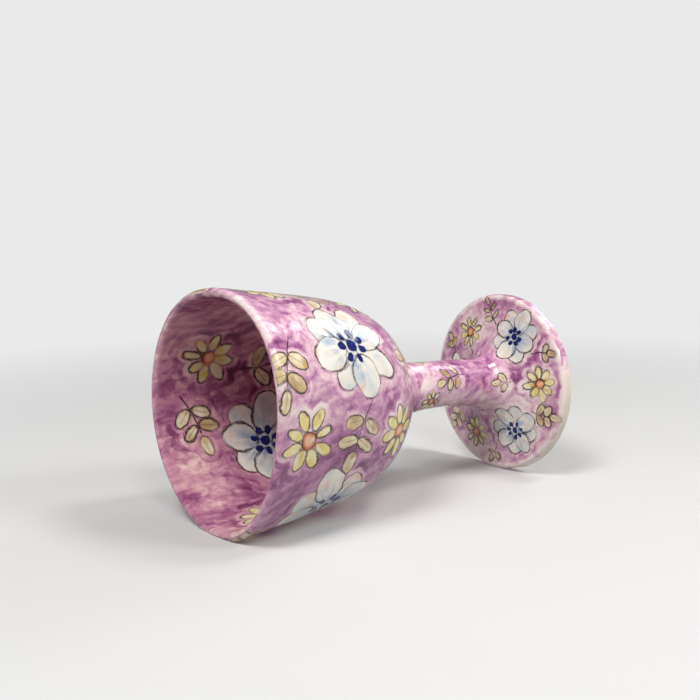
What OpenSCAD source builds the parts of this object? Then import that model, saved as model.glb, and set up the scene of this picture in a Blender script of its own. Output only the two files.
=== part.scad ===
// Hand-built stoneware goblet with a painted, clear-glazed surface.
// Three clay pieces, bowl, stem and foot, are luted together with slip at two flat
// joints. Clear glaze covers everything but the ring that the goblet stands on.
// Every piece is turned about the same axis: +Z runs up that axis, and the origin
// is the centre of the resting ring. Millimetres.

/* [Bowl] */
// Height of the bowl from its joint with the stem to the lip
bowl_h = 86.5; // [76:0.5:98]
// Outside diameter at the lip
mouth_d = 86; // [78:1:96]
// Outward lean of the wall at the lip, in degrees
lip_lean = 5.5; // [2:0.5:9]
// Spread of the bowl's lower wall from the axis, in degrees
base_spread = 43; // [38:1:46]
// Reach of the curve that leaves the stem, as a share of the bowl's height
base_reach = 0.46; // [0.42:0.01:0.5]
// Reach of the curve that arrives at the lip, as a share of the bowl's height
lip_reach = 0.765; // [0.68:0.005:0.82]
// Thickness of the finished wall at the lip
lip_wall = 3.2; // [2.6:0.1:4.2]
// Thickness of the finished wall where the cup starts to close
low_wall = 4.6; // [3.6:0.1:6]
// Thickness of the finished clay under the lowest point of the cup
cup_floor = 7; // [5.5:0.5:9]

/* [Stem] */
// Length of the stem with its two slip joints
stem_l = 37.5; // [28:0.5:48]
// Diameter at the bowl
stem_top_d = 21.8; // [19.4:0.2:25]
// Diameter at the waist
waist_d = 19.2; // [17:0.2:22]
// Diameter at the foot
stem_base_d = 19.6; // [17.4:0.2:24]
// Height of the waist above the joint with the foot
waist_h = 17; // [10:1:24]

/* [Foot] */
// Height of the foot from the table to its joint with the stem
foot_h = 26; // [22:1:32]
// Diameter of the foot
foot_d = 74; // [66:1:84]
// Height of the foot's upright edge, with its rounded shoulder
edge_h = 5.8; // [5:0.2:8]
// Radius of the rounded shoulder
shoulder_r = 1.6; // [1:0.1:2.2]
// Rise of the foot's top towards the stem, in degrees
top_rise = 4; // [2:0.5:8]
// Width of the bare ring that the goblet stands on
ring_w = 5.5; // [4:0.5:8]
// Depth of the hollow under the foot
hollow_h = 2.2; // [1.6:0.1:3]

/* [Slip and glaze] */
// Thickness of the slip in each joint
slip_t = 0.8; // [0.5:0.1:1.2]
// Thickness of the glaze
glaze_t = 0.35; // [0.2:0.05:0.5]
// Height above the table at which the glaze is wiped off
wipe_h = 1; // [0.8:0.1:1.4]
// Bevel on both edges of the bare ring
ring_bevel = 0.5; // [0.3:0.1:0.7]

/* [Hidden] */
$fn = 96;

clay_colour = [0.86, 0.81, 0.72];
slip_colour = [0.79, 0.73, 0.64];
wash_colour = [0.72, 0.55, 0.73];
inside_colour = [0.62, 0.43, 0.62];

// Heights of the two joints and of the lip
bowl_z = foot_h + stem_l;
lip_z = bowl_z + bowl_h;
waist_z = foot_h + waist_h;

mouth_r = mouth_d / 2;
lip_r = lip_wall / 2;
foot_r = foot_d / 2;
stem_top_r = stem_top_d / 2;
stem_base_r = stem_base_d / 2;
waist_r = waist_d / 2;
ring_in_r = foot_r - ring_w;

// Steps along each curve
wall_steps = 22;
lip_steps = 10;
cup_steps = 10;
stem_steps = 12;
flare_steps = 18;
shoulder_steps = 4;
hollow_steps = 6;

// Share of the wall's curve, counted from the stem, below which the cup closes
cup_start = 0.2;
// Share of the cup's last drop over which it keeps the wall's direction
cup_hold = 0.6;
// Width of the cup's flat floor, as a share of the width at which the cup closes
cup_flat = 0.5;
// Reach of the foot's flat top, as a share of the width between edge and stem
flare_reach = 0.8;
// Height at which the flare has turned up, as a share of its rise to the joint
flare_turn = 0.28;
// Radii between which the hollow bends down, as shares of the ring's inner radius
hollow_flat = 0.55;
hollow_wide = 0.91;

OUT = [1, 0];
UP = [0, 1];

function cubic(p, t) = pow(1 - t, 3) * p[0] + 3 * pow(1 - t, 2) * t * p[1]
    + 3 * (1 - t) * pow(t, 2) * p[2] + pow(t, 3) * p[3];
function curve(p, steps) = [for (i = [0 : steps]) cubic(p, i / steps)];
function arc(centre, r, from, to, steps) =
    [for (i = [0 : steps]) let (a = from + (to - from) * i / steps) centre + r * [cos(a), sin(a)]];
function part(path, first, last) = [for (i = [first : last]) path[i]];
function backwards(path) = [for (i = [len(path) - 1 : -1 : 0]) path[i]];

// The side of a path that faces the air: its direction turned clockwise
function facing(path, i) =
    let (d = path[min(i + 1, len(path) - 1)] - path[max(i - 1, 0)]) [d[1], -d[0]] / norm(d);

// The clay's surface under a coat of glaze whose two ends face first and last
function under(path, first, last) = [
    for (i = [0 : len(path) - 1])
        path[i] - glaze_t * (i == 0 ? first : i == len(path) - 1 ? last : facing(path, i))
];

// Bowl: the outer wall runs from the stem up to the lip
lip_centre = [mouth_r - lip_r, lip_z - lip_r];
wall_end = lip_centre + lip_r * [cos(lip_lean), -sin(lip_lean)];
wall_frame = [
    [stem_top_r, bowl_z],
    [stem_top_r, bowl_z] + bowl_h * base_reach * [sin(base_spread), cos(base_spread)],
    wall_end - bowl_h * lip_reach * [sin(lip_lean), cos(lip_lean)],
    wall_end
];
outer_wall = curve(wall_frame, wall_steps);
lip_arc = arc(lip_centre, lip_r, -lip_lean, 180 - lip_lean, lip_steps);

// The inner wall follows the outer one and thickens on the way down
function wall_t(t) = lip_wall + (low_wall - lip_wall) * (1 - t) / (1 - cup_start);
cup_first = ceil(wall_steps * cup_start);
inner_wall = [
    for (i = [wall_steps - 1 : -1 : cup_first])
        outer_wall[i] - wall_t(i / wall_steps) * facing(outer_wall, i)
];

// The cup closes in one round sweep from the inner wall to the axis
cup_edge = inner_wall[len(inner_wall) - 1];
cup_depth = bowl_z + cup_floor;
cup_dir = facing(outer_wall, cup_first);
cup_drop = cup_edge[1] - cup_depth;
cup_frame = [
    cup_edge,
    cup_edge - cup_hold * cup_drop / cup_dir[0] * [-cup_dir[1], cup_dir[0]],
    [cup_edge[0] * cup_flat, cup_depth],
    [0, cup_depth]
];
cup_sweep = part(curve(cup_frame, cup_steps), 1, cup_steps);

bowl_skin = concat(outer_wall, part(lip_arc, 1, lip_steps), inner_wall, cup_sweep);
bowl_clay = under(bowl_skin, OUT, UP);
crown = wall_steps + lip_steps / 2;

// Stem: a column drawn in to its waist
function swell(from, to, share) = from + (to - from) * pow(share, 2);
function stem_r(z) = z < waist_z
    ? swell(waist_r, stem_base_r, (waist_z - z) / (waist_z - foot_h))
    : swell(waist_r, stem_top_r, (z - waist_z) / (bowl_z - waist_z));
stem_low = foot_h + slip_t;
stem_high = bowl_z - slip_t;
stem_zs = concat(
    [foot_h],
    [for (i = [0 : stem_steps]) stem_low + (stem_high - stem_low) * i / stem_steps],
    [bowl_z]
);
stem_skin = [for (z = stem_zs) [stem_r(z), z]];
stem_clay = [for (z = stem_zs) [stem_r(z) - glaze_t, z]];

// Foot: upright edge, rounded shoulder, then one sweep up into the stem
shoulder_c = [foot_r - shoulder_r, edge_h - shoulder_r];
shoulder = arc(shoulder_c, shoulder_r, 0, 90 - top_rise, shoulder_steps);
flare_start = shoulder[shoulder_steps];
flare_frame = [
    flare_start,
    flare_start + flare_reach * (foot_r - stem_base_r) * [-cos(top_rise), sin(top_rise)],
    [stem_base_r, edge_h + flare_turn * (foot_h - edge_h)],
    [stem_base_r, foot_h]
];
foot_skin = concat([[foot_r, wipe_h]], shoulder, part(curve(flare_frame, flare_steps), 1, flare_steps));
foot_clay = under(foot_skin, OUT, OUT);

// Underside: a shallow dished hollow inside the resting ring
hollow_frame = [
    [0, hollow_h],
    [ring_in_r * hollow_flat, hollow_h],
    [ring_in_r * hollow_wide, hollow_h],
    [ring_in_r, wipe_h]
];
hollow_skin = curve(hollow_frame, hollow_steps);
hollow_clay = under(hollow_skin, -UP, -OUT);
ring = [
    [ring_in_r, ring_bevel],
    [ring_in_r + ring_bevel, 0],
    [foot_r - glaze_t - ring_bevel, 0],
    [foot_r - glaze_t, ring_bevel]
];

module turned(outline) {
    rotate_extrude() polygon(outline);
}

// A coat of glaze: the finished surface outside, the clay's surface inside
module coat(skin, clay) {
    turned(concat(skin, backwards(clay)));
}

// A solid on the axis, between two points of the clay's surface on the stem
module stem_slice(first, last) {
    turned(concat([[0, stem_zs[first]]], part(stem_clay, first, last), [[0, stem_zs[last]]]));
}

module bowl() {
    color(clay_colour) turned(concat(bowl_clay, [[0, bowl_z]]));
}

module stem() {
    color(clay_colour) stem_slice(1, stem_steps + 1);
}

module foot() {
    color(clay_colour) turned(concat(hollow_clay, [[ring_in_r, wipe_h]], ring, foot_clay, [[0, foot_h]]));
}

module bowl_slip() {
    color(slip_colour) stem_slice(stem_steps + 1, stem_steps + 2);
}

module foot_slip() {
    color(slip_colour) stem_slice(0, 1);
}

module bowl_outside_glaze() {
    color(wash_colour) coat(part(bowl_skin, 0, crown), part(bowl_clay, 0, crown));
}

module bowl_inside_glaze() {
    last = len(bowl_skin) - 1;
    color(inside_colour) coat(part(bowl_skin, crown, last), part(bowl_clay, crown, last));
}

module stem_glaze() {
    color(wash_colour) coat(stem_skin, stem_clay);
}

module foot_glaze() {
    color(wash_colour) coat(foot_skin, foot_clay);
}

module underfoot_glaze() {
    color(wash_colour) coat(hollow_skin, hollow_clay);
}

bowl();
stem();
foot();
bowl_slip();
foot_slip();
bowl_outside_glaze();
bowl_inside_glaze();
stem_glaze();
foot_glaze();
underfoot_glaze();
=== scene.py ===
# %% [markdown]
# # A painted stoneware goblet
#
# The goblet's clay pieces, slip joints and glaze coats are already there as exact solids, and
# those solids are perfectly round. A goblet that was built by hand never is. So this lesson
# turns every piece again as a fine mesh, with the small waves that hands leave in wet clay.
# Then it paints the clay, glazes it, and lays the goblet on a pale table.

# %% Load the frame
import math
import bpy
import numpy as np
from mathutils import Matrix, Vector


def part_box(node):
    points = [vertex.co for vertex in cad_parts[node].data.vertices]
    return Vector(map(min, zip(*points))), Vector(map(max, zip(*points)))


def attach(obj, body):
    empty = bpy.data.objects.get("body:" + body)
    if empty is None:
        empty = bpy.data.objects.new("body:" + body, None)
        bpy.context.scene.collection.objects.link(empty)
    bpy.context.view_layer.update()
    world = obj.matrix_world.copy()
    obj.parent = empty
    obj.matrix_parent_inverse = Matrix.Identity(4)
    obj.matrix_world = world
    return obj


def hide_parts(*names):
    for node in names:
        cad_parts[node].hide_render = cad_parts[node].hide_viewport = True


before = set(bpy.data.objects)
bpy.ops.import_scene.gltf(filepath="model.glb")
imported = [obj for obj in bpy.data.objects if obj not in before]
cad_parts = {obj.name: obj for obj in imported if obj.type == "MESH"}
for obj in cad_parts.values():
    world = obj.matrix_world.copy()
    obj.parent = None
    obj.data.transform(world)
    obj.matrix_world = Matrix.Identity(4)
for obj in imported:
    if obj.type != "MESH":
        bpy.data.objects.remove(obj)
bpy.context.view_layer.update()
print("solids:", ", ".join(sorted(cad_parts)))

# %% [markdown]
# ## Sizes
#
# What a solid's box tells is read from the frame, so that the looks follow the construction.
# The few shape values that no box tells, such as the lean of the lip, are the ones that the
# solids were drawn with. Profiles and paint are worked out in millimetres, and a point is
# scaled to metres when it becomes a mesh.

# %% Sizes
MM = 0.001


def reach(node, axis, end=1):
    """How far a node reaches along an axis, in millimetres; end 0 is its lowest corner."""
    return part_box(node)[end][axis] / MM


foot_z = reach("foot", 2)
bowl_z = reach("bowl", 2, end=0)
lip_z = reach("bowl_outside_glaze", 2)
mouth_r = reach("bowl_outside_glaze", 0)
foot_r = reach("foot_glaze", 0)
stem_top_r = reach("stem_glaze", 0)
glaze_t = reach("foot_glaze", 0) - reach("foot", 0)
wipe_h = reach("foot_glaze", 2, end=0)
slip_t = reach("foot_slip", 2) - reach("foot_slip", 2, end=0)
floor_t = reach("bowl_inside_glaze", 2, end=0) + glaze_t - bowl_z

lip_wall, low_wall = 3.2, 4.6
lip_lean, base_spread = math.radians(5.5), math.radians(43)
base_reach, lip_reach = 0.46, 0.765
cup_start, cup_hold, cup_flat, wall_steps = 0.2, 0.6, 0.5, 22
waist_r, stem_base_r, waist_h = 9.6, 9.8, 17
edge_h, shoulder_r, top_rise = 5.8, 1.6, math.radians(4)
flare_reach, flare_turn = 0.8, 0.28
ring_w, hollow_h, ring_bevel = 5.5, 2.2, 0.5
hollow_flat, hollow_wide = 0.55, 0.91
print(f"mouth {2 * mouth_r:.1f}, height {lip_z:.1f}, foot {2 * foot_r:.1f} mm")

# %% [markdown]
# ## Profiles
#
# A potter's profile is the goblet cut in half: a line of points, each a radius and a height.
# Long sweeps are cubic curves and the lip and shoulder are arcs, as in the solids. Each line
# keeps the air on its right hand, so one rule finds the clay under the glaze: step back from
# the air by the thickness of the coat.

# %% Lines of a profile


def sweep(start, leave, arrive, end, steps=240):
    t = np.linspace(0, 1, steps + 1)[:, None]
    points = [np.asarray(p, float) for p in (start, leave, arrive, end)]
    weights = [(1 - t) ** 3, 3 * (1 - t) ** 2 * t, 3 * (1 - t) * t**2, t**3]
    return sum(w * p for w, p in zip(weights, points))


def arc(centre, radius, first, last, steps=40):
    a = np.linspace(first, last, steps + 1)
    return np.asarray(centre) + radius * np.column_stack([np.cos(a), np.sin(a)])


def facing(line):
    """The way to the air at each point of a line."""
    d = np.gradient(line, axis=0)
    return np.column_stack([d[:, 1], -d[:, 0]]) / np.hypot(d[:, 0], d[:, 1])[:, None]


def runs(line):
    """How far along the line each point lies."""
    return np.concatenate([[0], np.cumsum(np.hypot(*np.diff(line, axis=0).T))])


def even(line, gap):
    """The same line with its points a steady distance apart."""
    run = runs(line)
    places = np.linspace(0, run[-1], max(2, round(run[-1] / gap) + 1))
    return np.column_stack([np.interp(places, run, line[:, i]) for i in (0, 1)])


def under(line, first, last):
    """The clay under a coat of glaze whose two ends face first and last."""
    clay = line - glaze_t * facing(line)
    clay[0] = line[0] - glaze_t * np.array(first)
    clay[-1] = line[-1] - glaze_t * np.array(last)
    return clay


def chain(*lines):
    """Lines joined end to end, with no point twice in a row."""
    points = np.vstack([np.atleast_2d(np.asarray(line, float)) for line in lines])
    keep = np.concatenate([[True], np.hypot(*np.diff(points, axis=0).T) > 1e-6])
    return points[keep]


OUT, IN, UP, DOWN = (1, 0), (-1, 0), (0, 1), (0, -1)
print("a quarter circle of radius 10 runs", round(runs(arc((0, 0), 10, 0, math.pi / 2))[-1], 2))

# %% [markdown]
# ### The bowl
#
# The wall leaves the stem at a slant and swings up to a lip that leans out a little. The inside
# follows the outside at the wall's thickness, which grows downwards, and a second sweep
# closes the round bottom of the cup. Only the outside is drawn, and the rest follows.

# %% The bowl's profile


def lean(angle):
    return np.array([math.sin(angle), math.cos(angle)])


bowl_h = lip_z - bowl_z
lip_r = lip_wall / 2
lip_centre = np.array([mouth_r - lip_r, lip_z - lip_r])
wall_end = lip_centre + lip_r * np.array([math.cos(lip_lean), -math.sin(lip_lean)])
wall_start = np.array([stem_top_r, bowl_z])
outer_wall = sweep(
    wall_start,
    wall_start + bowl_h * base_reach * lean(base_spread),
    wall_end - bowl_h * lip_reach * lean(lip_lean),
    wall_end,
)
outer_lip = arc(lip_centre, lip_r, -lip_lean, math.pi / 2)
inner_lip = arc(lip_centre, lip_r, math.pi / 2, math.pi - lip_lean)

share = np.linspace(0, 1, len(outer_wall))
wall_t = lip_wall + (low_wall - lip_wall) * (1 - share) / (1 - cup_start)
cup_edge_share = math.ceil(cup_start * wall_steps) / wall_steps
inner_wall = outer_wall - wall_t[:, None] * facing(outer_wall)
inner_wall = inner_wall[share >= cup_edge_share][::-1]

cup_edge, cup_z = inner_wall[-1], bowl_z + floor_t
wall_way = (inner_wall[-2] - inner_wall[-1]) / np.hypot(*(inner_wall[-2] - inner_wall[-1]))
cup_sweep = sweep(
    cup_edge,
    cup_edge - cup_hold * (cup_edge[1] - cup_z) / wall_way[1] * wall_way,
    (cup_edge[0] * cup_flat, cup_z),
    (0, cup_z),
)
outside_skin = chain(outer_wall, outer_lip)
inside_skin = chain(inner_lip, inner_wall, cup_sweep)
print(f"the wall runs {runs(outside_skin)[-1]:.0f} mm outside, {runs(inside_skin)[-1]:.0f} mm inside")

# %% [markdown]
# ### The stem and the foot
#
# The stem is widest where it meets the bowl and narrowest at its waist, with a parabola on
# each side of it. The foot's top rises gently from a round shoulder and flares up into the
# stem. Underneath there is a shallow hollow inside a bare ring with small bevels.

# %% The stem's and the foot's profiles
waist_z = foot_z + waist_h
heights = np.linspace(foot_z, bowl_z, 120)
below, above = (waist_z - heights) / waist_h, (heights - waist_z) / (bowl_z - waist_z)
stem_r = waist_r + (stem_base_r - waist_r) * np.maximum(below, 0) ** 2
stem_r += (stem_top_r - waist_r) * np.maximum(above, 0) ** 2
stem_skin = np.column_stack([stem_r, heights])

shoulder = arc((foot_r - shoulder_r, edge_h - shoulder_r), shoulder_r, 0, math.pi / 2 - top_rise)
top_way = np.array([-math.cos(top_rise), math.sin(top_rise)])
foot_top = sweep(
    shoulder[-1],
    shoulder[-1] + flare_reach * (foot_r - stem_base_r) * top_way,
    (stem_base_r, edge_h + flare_turn * (foot_z - edge_h)),
    (stem_base_r, foot_z),
)
foot_skin = chain((foot_r, wipe_h), shoulder, foot_top)

ring_in_r = foot_r - ring_w
hollow_skin = sweep(
    (0, hollow_h),
    (ring_in_r * hollow_flat, hollow_h),
    (ring_in_r * hollow_wide, hollow_h),
    (ring_in_r, wipe_h),
)
clay_edge_r = foot_r - glaze_t
ring = [
    (ring_in_r, wipe_h),
    (ring_in_r, ring_bevel),
    (ring_in_r + ring_bevel, 0),
    (clay_edge_r - ring_bevel, 0),
    (clay_edge_r, ring_bevel),
]
print(f"the stem is {2 * stem_r.min():.1f} mm at its waist; the bare ring is {ring_w:.1f} mm wide")

# %% [markdown]
# ## One small language for node trees
#
# Shaders and Geometry Nodes are both trees of nodes, and a tree that is typed node by node is
# hard to read. A Wire below stands for one socket's value. Sums written on wires add Math
# nodes, and Graph.add makes any other node from its type, its settings and its inputs.

# %% A wire


class Wire:
    """One value on its way through a node tree."""

    def __init__(self, graph, socket):
        self.graph, self.socket = graph, socket

    def __add__(self, other):
        return self.graph.maths("ADD", self, other)

    def __sub__(self, other):
        return self.graph.maths("SUBTRACT", self, other)

    def __rsub__(self, other):
        return self.graph.maths("SUBTRACT", other, self)

    def __mul__(self, other):
        return self.graph.maths("MULTIPLY", self, other)

    def __truediv__(self, other):
        return self.graph.maths("DIVIDE", self, other)

    def __pow__(self, other):
        return self.graph.maths("POWER", self, other)

    def __abs__(self):
        return self.graph.maths("ABSOLUTE", self)

    __radd__, __rmul__ = __add__, __mul__

    def most(self, other):
        return self.graph.maths("MAXIMUM", self, other)

    def ramp(self, low, high):
        """0 at low, 1 at high, with a soft step between."""
        settings = {"interpolation_type": "SMOOTHSTEP"}
        wanted = {"Value": self, "From Min": low, "From Max": high}
        return self.graph.add("ShaderNodeMapRange", settings, wanted, out="Result")


print("besides sums, a wire has:", ", ".join(name for name in vars(Wire) if name[0] != "_"))

# %% A graph


class Graph:
    """A node tree under construction."""

    def __init__(self, tree):
        self.tree = tree

    def add(self, kind, settings=(), inputs=(), out=0):
        node = self.tree.nodes.new(kind)
        for name, value in dict(settings).items():
            if name == "stops":
                self.set_stops(node.color_ramp.elements, value)
            else:
                setattr(node, name, value)
        for name, value in dict(inputs).items():
            if isinstance(value, Wire):
                self.tree.links.new(value.socket, node.inputs[name])
            else:
                node.inputs[name].default_value = value
        return Wire(self, node.outputs[out]) if node.outputs else node

    def maths(self, operation, *values):
        return self.add("ShaderNodeMath", {"operation": operation}, dict(enumerate(values)))

    def set_stops(self, elements, stops):
        for place, colour in stops[1:-1]:
            elements.new(place).color = colour
        for element, (place, colour) in zip((elements[0], elements[-1]), (stops[0], stops[-1])):
            element.position, element.color = place, colour

    def vector(self, operation, *values, out=0):
        settings = {"operation": operation}
        return self.add("ShaderNodeVectorMath", settings, dict(enumerate(values)), out)

    def scaled(self, vector, by):
        settings = {"operation": "SCALE"}
        return self.add("ShaderNodeVectorMath", settings, {"Vector": vector, "Scale": by})

    def apart(self, vector):
        node = self.add("ShaderNodeSeparateXYZ", (), {"Vector": vector}).socket.node
        return [Wire(self, socket) for socket in node.outputs]

    def together(self, x, y, z):
        return self.add("ShaderNodeCombineXYZ", (), {"X": x, "Y": y, "Z": z})

    def noise(self, place, scale, detail=2.0, seed=0.0, out="Fac"):
        inputs = {"Vector": place, "Scale": scale, "Detail": detail, "W": seed}
        return self.add("ShaderNodeTexNoise", {"noise_dimensions": "4D"}, inputs, out)

    def waver(self, place, scale, detail, seed, size):
        """Noise about nought, size high from its lowest to its highest."""
        return (self.noise(place, scale, detail, seed) - 0.5) * size

    def bump(self, height, depth):
        wanted = {"Strength": 1.0, "Distance": depth, "Height": height}
        return self.add("ShaderNodeBump", (), wanted)

    def surface(self, looks):
        """Ends a material's tree in one shader with these looks."""
        shader = self.add("ShaderNodeBsdfPrincipled", (), looks)
        self.add("ShaderNodeOutputMaterial", (), {"Surface": shader})


def blank_graph(owner):
    """The emptied node tree of a material or a world."""
    owner.use_nodes = True
    owner.node_tree.nodes.clear()
    return Graph(owner.node_tree)


trial = bpy.data.node_groups.new("trial", "ShaderNodeTree")
value = Graph(trial).add("ShaderNodeValue")
print("1 - value * 2 ends in a", (1 - value * 2).socket.node.operation, "of", len(trial.nodes), "nodes")
bpy.data.node_groups.remove(trial)

# %% [markdown]
# ## Turning by hand
#
# On the wheel or the board, a profile goes once round the axis. A Screw modifier can do that,
# but it leaves a perfect circle. Here one Geometry Nodes tree turns every piece: a grid takes
# its rows from the profile's points and its columns from the angle. The hands come next. The
# mouth isn't a true circle but has two, three and four low lobes, the rim rises and dips by
# a millimetre or so, the foot is slightly oval, the stem stands a little off the axis, and
# there are shallow dents all over. The same place always moves by the same amount, so the
# clay, the slip and the glaze bend alike and stay in touch.

# %% The marks of the hand
MOUTH_LOBES = [(2, 0.011, 140), (3, 0.035, 151), (4, 0.014, 170)]
RIM_DIPS = [(1, 0.47, -35), (2, 0.70, 109), (3, 0.24, 145)]
FOOT_LOBES = [(2, 0.027, 160)]
STEM_SHIFT, STEM_SHIFT_WAY, STEM_SHIFT_Z, STEM_SHIFT_SPAN = 1.63, -45, 43.5, 25.5
FOOT_SHIFT, FOOT_SHIFT_WAY = 0.57, -37
WAVE_START, WAVE_CURVE, RIM_START, FOOT_SHARE = 0.42, 1.5, 0.6, 0.25
DENTS, SMALL_DENTS, SMALL_SHARE = 45.0, 130.0, 0.3
DENTS_OFF_AXIS, DENTS_OFF_TABLE = 12, 6


def waves(turn, lobes):
    """A sum of waves round the goblet, each with its count, its height and where it peaks."""
    graph, made = turn.graph, 0.0
    for count, size, peak in lobes:
        made = graph.maths("COSINE", (turn - math.radians(peak)) * count) * size + made
    return made


def shifted(graph, amount, way):
    """A level shift towards a compass angle, as a vector."""
    x, y = math.cos(math.radians(way)), math.sin(math.radians(way))
    return graph.together(amount * x, amount * y, 0.0)


def by_hand(g, given, turn, radius, height):
    """Where the hands leave a point that a wheel would put at this turn, radius and height."""
    share_up = height / (lip_z * MM)
    upper = ((share_up - WAVE_START) / (1 - WAVE_START)).most(0.0) ** WAVE_CURVE
    rim = ((share_up - RIM_START) / (1 - RIM_START)).most(0.0)
    low = (1 - share_up / FOOT_SHARE).most(0.0)
    lobes = waves(turn, MOUTH_LOBES) * upper + waves(turn, FOOT_LOBES) * low

    c, s = g.maths("COSINE", turn), g.maths("SINE", turn)
    spot = g.together(radius * c, radius * s, height)
    small = g.waver(spot, SMALL_DENTS, 1.0, given["Seed"], SMALL_SHARE)
    dents = g.noise(spot, DENTS, 1.0, given["Seed"]) - 0.5 + small
    off_axis = (radius / (DENTS_OFF_AXIS * MM)).ramp(0.0, 1.0)
    off_table = (height / (DENTS_OFF_TABLE * MM)).ramp(0.0, 1.0)
    dent = dents * given["Dent Depth"] * off_axis * off_table
    wide = radius * (lobes * given["Unevenness"] + 1) + dent
    high = height + waves(turn, RIM_DIPS) * rim * given["Unevenness"] * MM

    from_waist = (height - STEM_SHIFT_Z * MM) / (STEM_SHIFT_SPAN * MM)
    hump = g.maths("EXPONENT", from_waist * from_waist * -1)
    stem_shift = shifted(g, hump * given["Unevenness"] * (STEM_SHIFT * MM), STEM_SHIFT_WAY)
    foot_shift = shifted(g, (1 - share_up) * given["Unevenness"] * (FOOT_SHIFT * MM), FOOT_SHIFT_WAY)
    bent = g.together(wide * c, wide * s, high)
    return g.vector("ADD", g.vector("ADD", bent, stem_shift), foot_shift)


most_lobe = sum(size for _, size, _ in MOUTH_LOBES) * mouth_r
print(f"the lobes move the lip by {most_lobe:.1f} mm at most, and the stem stands {STEM_SHIFT} mm off")

# %% The turning tree
SHARP = math.radians(40)
TURNING_INPUTS = {
    "Profile": "NodeSocketGeometry",
    "Steps Round": "NodeSocketInt",
    "Unevenness": "NodeSocketFloat",
    "Dent Depth": "NodeSocketFloat",
    "Seed": "NodeSocketFloat",
    "Material": "NodeSocketMaterial",
}


def profile_grid(g, given):
    """A flat grid, and the turn, the radius and the height that each of its points goes to."""
    whole = {"Geometry": given["Profile"]}
    rows = g.add("GeometryNodeAttributeDomainSize", {"component": "MESH"}, whole, "Point Count")
    size = {"Size X": 1.0, "Size Y": 1.0, "Vertices X": rows, "Vertices Y": given["Steps Round"] + 1}
    grid = g.add("GeometryNodeMeshGrid", (), size, "Mesh")
    place = g.add("GeometryNodeInputPosition")
    across, round_share, _ = g.apart(place)
    row = g.maths("ROUND", (across + 0.5) * (rows - 1))
    wanted = {"Geometry": given["Profile"], "Value": place, "Index": row}
    point = g.add("GeometryNodeSampleIndex", {"data_type": "FLOAT_VECTOR"}, wanted)
    radius, run, height = g.apart(point)
    kept_run = {"Geometry": grid, "Name": "run", "Value": run * (1 / MM)}
    grid = g.add("GeometryNodeStoreNamedAttribute", {"data_type": "FLOAT"}, kept_run)
    return grid, (round_share + 0.5) * math.tau, radius, height


def build_turning():
    tree = bpy.data.node_groups.new("Turning by hand", "GeometryNodeTree")
    for name, kind in TURNING_INPUTS.items():
        tree.interface.new_socket(name, in_out="INPUT", socket_type=kind)
    tree.interface.new_socket("Piece", in_out="OUTPUT", socket_type="NodeSocketGeometry")
    g = Graph(tree)
    entry = g.add("NodeGroupInput").socket.node
    given = {name: Wire(g, entry.outputs[name]) for name in TURNING_INPUTS}
    grid, turn, radius, height = profile_grid(g, given)
    bent = by_hand(g, given, turn, radius, height)
    made = g.add("GeometryNodeSetPosition", (), {"Geometry": grid, "Position": bent})
    made = g.add("GeometryNodeMergeByDistance", (), {"Geometry": made, "Distance": 1e-6})
    made = g.add("GeometryNodeFlipFaces", (), {"Mesh": made})
    made = g.add("GeometryNodeSetShadeSmooth", (), {"Geometry": made})
    edge_angle = g.add("GeometryNodeInputMeshEdgeAngle", out="Unsigned Angle")
    soft = {"Geometry": made, "Shade Smooth": g.maths("LESS_THAN", edge_angle, SHARP)}
    made = g.add("GeometryNodeSetShadeSmooth", {"domain": "EDGE"}, soft)
    made = g.add("GeometryNodeRealizeInstances", (), {"Geometry": made})
    made = g.add("GeometryNodeSetMaterial", (), {"Geometry": made, "Material": given["Material"]})
    g.add("NodeGroupOutput", (), {"Piece": made})
    return tree


turning = build_turning()
print("the turning tree has", len(turning.nodes), "nodes")

# %% [markdown]
# ## From section to piece
#
# A piece starts as a bare line of points, its section, and the tree turns it as a modifier. The
# export wants plain meshes, so the evaluated result is kept and the modifier goes. Then the
# piece rides on the goblet's one body and stands for its solid.

# %% Turn one piece
UNEVENNESS, DENT_DEPTH, HAND_SEED = 1.0, 0.45, 7.0


def placed(name, data):
    """A new object in the scene."""
    item = bpy.data.objects.new(name, data)
    bpy.context.scene.collection.objects.link(item)
    return item


def turned(name, section, steps, material, node):
    """A plain mesh piece, turned from its section, that stands for a CAD node."""
    mesh = bpy.data.meshes.new(name)
    along = runs(section)
    if np.allclose(section[0], section[-1]):
        along[-1] = 0
    points = [(r * MM, s * MM, z * MM) for (r, z), s in zip(section, along)]
    mesh.from_pydata(points, [(i, i + 1) for i in range(len(points) - 1)], [])
    piece = placed(name, mesh)
    modifier = piece.modifiers.new("Turning", "NODES")
    modifier.node_group = turning
    values = {
        "Steps Round": steps,
        "Unevenness": UNEVENNESS,
        "Dent Depth": DENT_DEPTH * MM,
        "Seed": HAND_SEED,
        "Material": material,
    }
    for item in turning.interface.items_tree:
        if item.name in values:
            modifier[item.identifier] = values[item.name]
    graph = bpy.context.evaluated_depsgraph_get()
    done = bpy.data.meshes.new_from_object(
        piece.evaluated_get(graph), preserve_all_data_layers=True, depsgraph=graph
    )
    piece.modifiers.clear()
    piece.data = done
    done.name = name
    bpy.data.meshes.remove(mesh)
    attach(piece, "root")
    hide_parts(node)
    print(f"{name}: {len(done.vertices)} points, {len(done.polygons)} faces")
    return piece


# %% [markdown]
# ## The wash and the painted flowers
#
# The potter brushed a lilac wash on the pale clay, and the flowers are drawn on it with a
# thin dark line and filled with thin colour. One way to make that is a picture; another is a
# shader with hundreds of nodes. Here each painted shape is worked out once, for every point
# of the fine mesh: how deep inside the shape's edge the point lies, in millimetres. Such a
# field changes evenly from point to point, so the shader finds a crisp edge, or a line of
# any width, between the points. Petals that overlap are kept in two layers, one over the other.

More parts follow.
